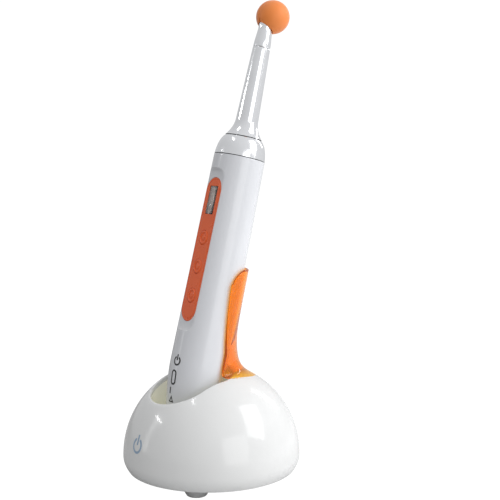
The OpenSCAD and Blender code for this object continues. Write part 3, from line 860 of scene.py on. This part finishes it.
def shield_ball():
    """Soft silicone ball: a bore for the head, a mouth for the light, a split low at the front
    and a fine mould line around it."""
    def beside(x, y, z):
        return hand(x, SHIELD_OFF + y, HEAD_U + z)

    def head_place(x, y, z):
        return hand(x, y, HEAD_U + z)

    count = 72
    outline = [(SHIELD_R * sin(pi * k / count), -SHIELD_R * cos(pi * k / count)) for k in range(count + 1)]
    outline[0], outline[-1] = (0, -SHIELD_R), (0, SHIELD_R)
    ball = lathe("shield_ball", outline, beside, 144, 180)
    hole = HEAD_R + 0.3
    bore = lathe("bore", [(0, -20), (hole, -20), (hole, 3.9), (hole - 0.7, 5.2), (hole - 1.7, 6.15),
                          (0, 6.15)], head_place, 96)
    mouth = lathe("mouth", [(0, 3), (LENS_R + 0.1, 3), (6.0, 15), (0, 15)],
                  lambda x, z, y: head_place(x, y, z), 96)
    split = [(-0.5, -12), (0.5, -12), (0.5, -3.4), (0.1, -2.4), (-0.1, -2.4), (-0.5, -3.4)]
    notch = capped("notch", [[head_place(x, y, z) for x, z in split] for y in (-11.6, -3.0)])
    bead = [(SHIELD_R + 0.12 + 0.42 * cos(TAU * k / 16), 0.42 * sin(TAU * k / 16)) for k in range(16)]
    line = lathe("mould_line", bead, lambda x, y, z: beside(z, x, y), 144)
    cut(ball, [bore, mouth, notch, line], 180)
    soften(ball, 0.17, 5)
    return finish_piece(ball, "shield", "shield_orange", "light_shield")


def soften(piece, voxel_mm, passes):
    """Rounds all edges of a rubber piece by rebuilding it from small cells."""
    cells = piece.modifiers.new("cells", "REMESH")
    cells.mode = "VOXEL"
    cells.voxel_size = voxel_mm * MM
    relax = piece.modifiers.new("relax", "SMOOTH")
    relax.factor = 0.5
    relax.iterations = passes
    apply_modifiers(piece, 180)


# Studio --------------------------------------------------------------------------

CAMERA = {"distance": 0.6034, "azimuth": 57.67, "height": 0.2001, "yaw": 2.03, "pitch": 7.26, "roll": -0.2}
LENS_MM = 81.9
SENSOR_MM = 36
ABOVE = Vector((0, 0, 1))


def place_camera():
    azimuth = radians(CAMERA["azimuth"])
    heading = radians(CAMERA["azimuth"] - CAMERA["yaw"])
    pitch, roll = radians(CAMERA["pitch"]), radians(CAMERA["roll"])
    forward = Vector((-sin(heading) * cos(pitch), cos(heading) * cos(pitch), -sin(pitch)))
    level = forward.cross(ABOVE).normalized()
    upright = level.cross(forward)
    right = level * cos(roll) + upright * sin(roll)
    up = upright * cos(roll) - level * sin(roll)
    lens = bpy.data.cameras.new("camera")
    lens.lens, lens.sensor_width = LENS_MM, SENSOR_MM
    lens.clip_start = 0.02
    camera = bpy.data.objects.new("camera", lens)
    distance = CAMERA["distance"]
    camera.matrix_world = Matrix((
        (right.x, up.x, -forward.x, distance * sin(azimuth)),
        (right.y, up.y, -forward.y, -distance * cos(azimuth)),
        (right.z, up.z, -forward.z, CAMERA["height"]),
        (0, 0, 0, 1)))
    bpy.context.scene.collection.objects.link(camera)
    bpy.context.scene.camera = camera
    flat = Vector((forward.x, forward.y, 0)).normalized()
    return flat, Vector((flat.y, -flat.x, 0))


def seen_rays(tree):
    """1 for rays that the camera sends out, straight or through something clear, and 0 for others."""
    path = tree.nodes.new("ShaderNodeLightPath")
    either = tree.nodes.new("ShaderNodeMath")
    either.operation = "MAXIMUM"
    tree.links.new(path.outputs["Is Camera Ray"], either.inputs[0])
    tree.links.new(path.outputs["Is Transmission Ray"], either.inputs[1])
    return either.outputs["Value"]


def studio(view):
    """Pale surroundings that are brighter on the right, seen as plain white by the camera."""
    side = view[1]
    sky = bpy.data.worlds.new("studio")
    bpy.context.scene.world = sky
    sky.use_nodes = True
    tree = sky.node_tree
    tree.nodes.clear()
    place = tree.nodes.new("ShaderNodeTexCoord").outputs["Generated"]
    slope = tree.nodes.new("ShaderNodeVectorMath")
    slope.operation = "DOT_PRODUCT"
    slope.inputs[1].default_value = side * SKY["to_right"] + ABOVE * SKY["upwards"]
    tree.links.new(place, slope.inputs[0])
    glossy = tree.nodes.new("ShaderNodeLightPath").outputs["Is Glossy Ray"]
    level = tree.nodes.new("ShaderNodeMath")
    level.operation = "MULTIPLY_ADD"
    tree.links.new(slope.outputs["Value"], level.inputs[0])
    for socket, values in ((1, SKY["slope"]), (2, SKY["level"])):
        choice = tree.nodes.new("ShaderNodeMapRange")
        choice.inputs["To Min"].default_value = values[0]
        choice.inputs["To Max"].default_value = values[1]
        tree.links.new(glossy, choice.inputs["Value"])
        tree.links.new(choice.outputs["Result"], level.inputs[socket])
    around = tree.nodes.new("ShaderNodeBackground")
    around.inputs["Color"].default_value = (0.985, 0.99, 1.0, 1)
    tree.links.new(level.outputs["Value"], around.inputs["Strength"])
    seen = tree.nodes.new("ShaderNodeBackground")
    seen.inputs["Color"].default_value = (1, 1, 1, 1)
    seen.inputs["Strength"].default_value = 1.05
    mix = tree.nodes.new("ShaderNodeMixShader")
    out = tree.nodes.new("ShaderNodeOutputWorld")
    tree.links.new(seen_rays(tree), mix.inputs["Fac"])
    tree.links.new(around.outputs["Background"], mix.inputs[1])
    tree.links.new(seen.outputs["Background"], mix.inputs[2])
    tree.links.new(mix.outputs["Shader"], out.inputs["Surface"])


def floor(side):
    """White paper, lit so that the camera sees it as plain white with a faint contact shadow; for light
    bouncing off it, its colour is painted shade, dark grey on the left and pale on the right.
    """
    plane = solid_box("floor", (-0.9, -0.9, -0.02), (0.9, 0.9, 0), lambda x, y, z: Vector((x, y, z)))
    paper = Surface("floor_paper", Roughness=0.7)
    across = paper.tree.nodes.new("ShaderNodeVectorMath")
    across.operation = "DOT_PRODUCT"
    across.inputs[1].default_value = side
    paper.tree.links.new(paper.place, across.inputs[0])
    # Painted shade: the paper runs from dark grey on the left to pale on the right, so less light bounces
    # up on the left.
    paper.colours(paper.between(across.outputs["Value"], 0, 1, -0.15, 0.15), (0.34,) * 3, (0.9,) * 3, 0, 1)
    glow = paper.tree.nodes.new("ShaderNodeEmission")
    glow.inputs["Strength"].default_value = 1.15
    share = paper.between(seen_rays(paper.tree), 0.0, 0.93, 0.0, 1.0)
    mix = paper.tree.nodes.new("ShaderNodeMixShader")
    output = paper.tree.nodes["Material Output"]
    paper.tree.links.new(share, mix.inputs["Fac"])
    paper.tree.links.new(paper.shader.outputs["BSDF"], mix.inputs[1])
    paper.tree.links.new(glow.outputs["Emission"], mix.inputs[2])
    paper.tree.links.new(mix.outputs["Shader"], output.inputs["Surface"])
    plane.data.materials.append(paper.material)


# level and slope are for diffuse light and for reflections
SKY = {"level": (0.53, 0.64), "slope": (1.0, 0.3), "to_right": 0.38, "upwards": 0.30}
# Each lamp: the way to its middle and the two ways along its sides, all as (right, near, up),
# then its brightness.
LAMPS = {
    "window": ((0.72, 0.17, 0.535), (0.24, -0.33, -0.18), (0.11, 0.57, -0.36), 2.6),
    "front_box": ((0.55, 0.82, 0.22), (0.50, -0.30, 0.0), (0.0, 0.0, 0.62), 1.15),
    "tall_strip": ((0.65, -0.58, 0.47), (0.045, 0.05, 0.0), (0.20, -0.11, -0.41), 6.0),
    "right_box": ((1.0, -0.25, 0.22), (0.0, 0.7, 0.0), (0.0, 0.0, 0.6), 0.6),
    "left_box": ((-1.0, -0.04, 0.15), (0.0, 0.14, 0.0), (0.0, 0.0, 0.7), 1.0),
    "upper_strip": ((-0.34, 0.07, 0.93), (0.03, 0.0, 0.01), (0.0, 0.24, 0.0), 12.0),
    "left_strip": ((-0.86, -0.03, 0.48), (0.015, 0.0, 0.03), (0.0, 0.26, 0.0), 12.0),
}
DIFFUSE_ONLY = ("right_box",)
LAMP_DISTANCE = 1.1
LAMP_TARGET = Vector((0, 0, 0.05))


def lamp(name, middle, across, along, brightness, view):
    """Rectangular lamp: it shines as brightly as its surface would look in a mirror."""
    flat, side = view

    def placed(way):
        return side * way[0] - flat * way[1] + ABOVE * way[2]

    light = bpy.data.lights.new(name, "AREA")
    light.shape = "RECTANGLE"
    x_way, y_way = placed(across), placed(along)
    light.size = x_way.length * LAMP_DISTANCE
    light.size_y = y_way.length * LAMP_DISTANCE
    light.energy = brightness * pi * light.size * light.size_y
    holder = bpy.data.objects.new(name, light)
    away = placed(middle).normalized()
    x_axis = (x_way - away * x_way.dot(away)).normalized()
    y_axis = away.cross(x_axis)
    place = LAMP_TARGET + away * LAMP_DISTANCE
    rows = [(x_axis[i], y_axis[i], away[i], place[i]) for i in range(3)]
    holder.matrix_world = Matrix((*rows, (0, 0, 0, 1)))
    holder.visible_glossy = name not in DIFFUSE_ONLY
    bpy.context.scene.collection.objects.link(holder)


view = place_camera()
studio(view)
floor(view[1])
for lamp_name, (middle, across, along, brightness) in LAMPS.items():
    lamp(lamp_name, middle, across, along, brightness, view)

for slot_entry in frame["record"]["subparts"]:
    node = frame["nodes"][slot_entry["node"]]
    node.data.materials.clear()
    node.data.materials.append(materials[slot_entry["material_slot"]])
    shade(node, SHARP)

dome_skin()
amber_rest()
base_pads()
handle_body()
panel_face()
for name, body in (("power_button", "power_key"), ("mode_button", "mode_key"), ("time_button", "time_key")):
    key(name, body)
window_glass()
display_marks()
neck_collar()
neck_tube()
head_body()
shield_ball()

bpy.context.scene.view_settings.view_transform = "Standard"
